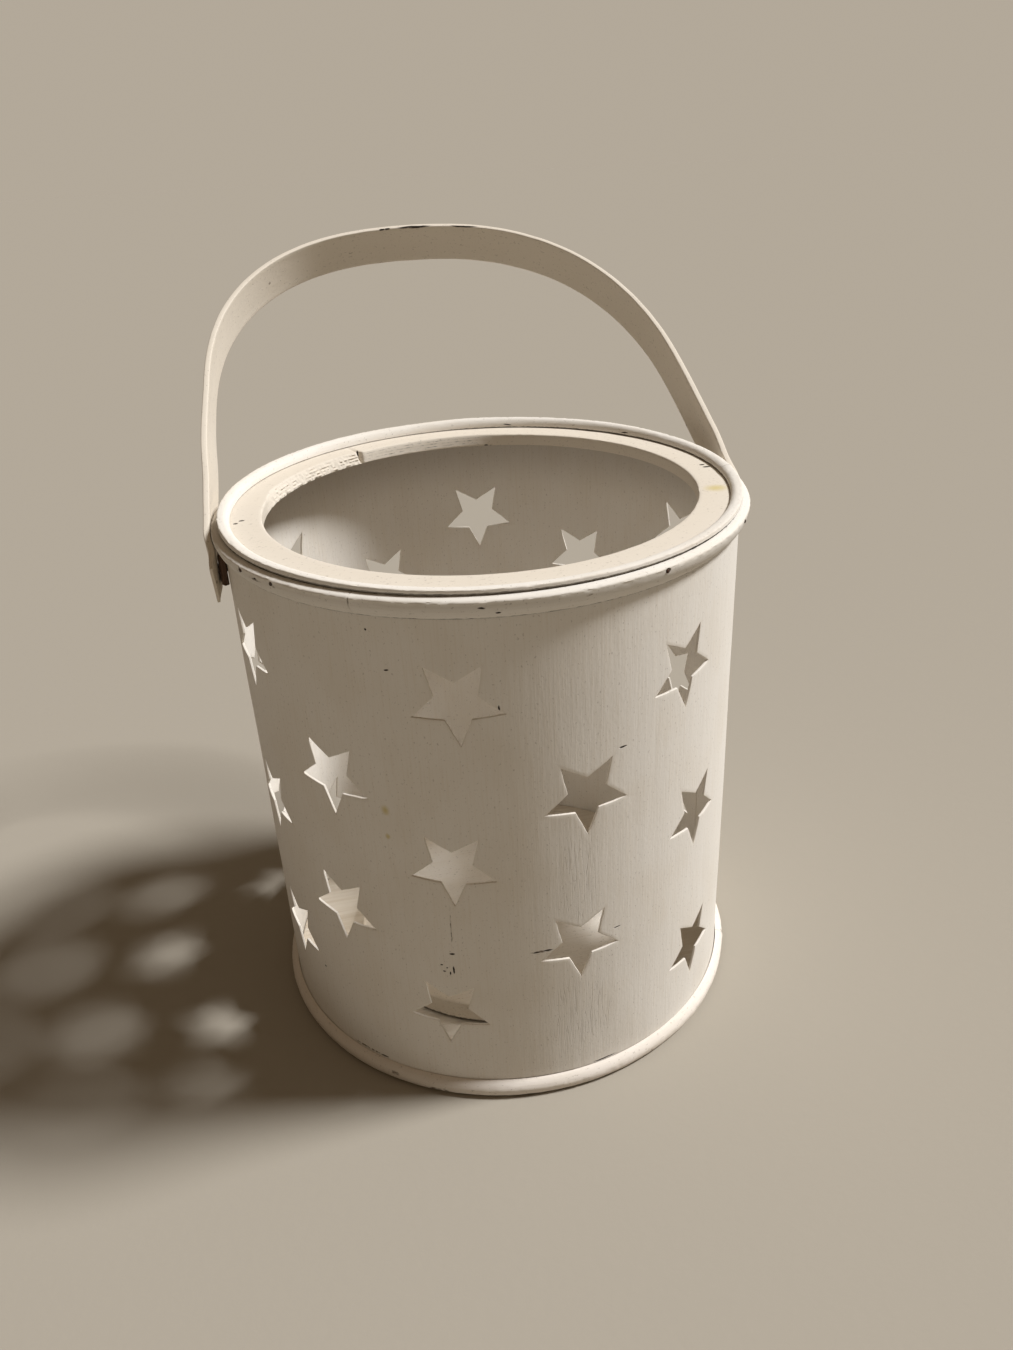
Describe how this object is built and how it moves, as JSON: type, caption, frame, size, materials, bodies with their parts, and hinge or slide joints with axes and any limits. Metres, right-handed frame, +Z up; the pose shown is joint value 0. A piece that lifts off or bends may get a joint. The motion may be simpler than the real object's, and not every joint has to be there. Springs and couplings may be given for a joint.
{
  "type": "bentwood lantern",
  "caption": "Open round lantern of whitewashed bentwood veneer with star cut-outs, a flat top ring, three wooden hoops and a swinging bent strip handle, for a candle or a small light.",
  "frame": {"origin": "middle of the base disc's underside, on the floor", "axes": "+Z up along the wall's axis, +X along the handle's pivot axis to the right, -Y towards the front; at rest the handle leans back towards +Y"},
  "size_m": [0.1936, 0.2623, 0.274],
  "materials": {
    "painted_wood": "thin matt whitewash, worn at the edges",
    "raw_wood": "unpainted pale plywood",
    "dark_wood": "unpainted, dark",
    "steel": "dull, dark"
  },
  "bodies": {
    "body": {"wall_sheet": "painted_wood", "top_ring": "painted_wood", "cap_hoop": "painted_wood", "rim_hoop": "painted_wood", "foot_hoop": "painted_wood", "base_disc": "raw_wood", "candle_plate": "painted_wood", "handle_spacer_left": "dark_wood", "handle_spacer_right": "dark_wood", "handle_pin_left": "steel", "handle_pin_right": "steel", "rim_brad_1": "steel", "rim_brad_2": "steel", "rim_brad_3": "steel", "rim_brad_4": "steel", "rim_brad_5": "steel", "rim_brad_6": "steel"},
    "handle": {"handle_strip": "painted_wood"}
  },
  "joints": [
    {"name": "handle_swing", "type": "hinge", "parent": "body", "child": "handle", "pos_m": [0, -0.0075, 0.1844], "axis": [1, 0, 0], "range_deg": [-80, 214]}
  ]
}
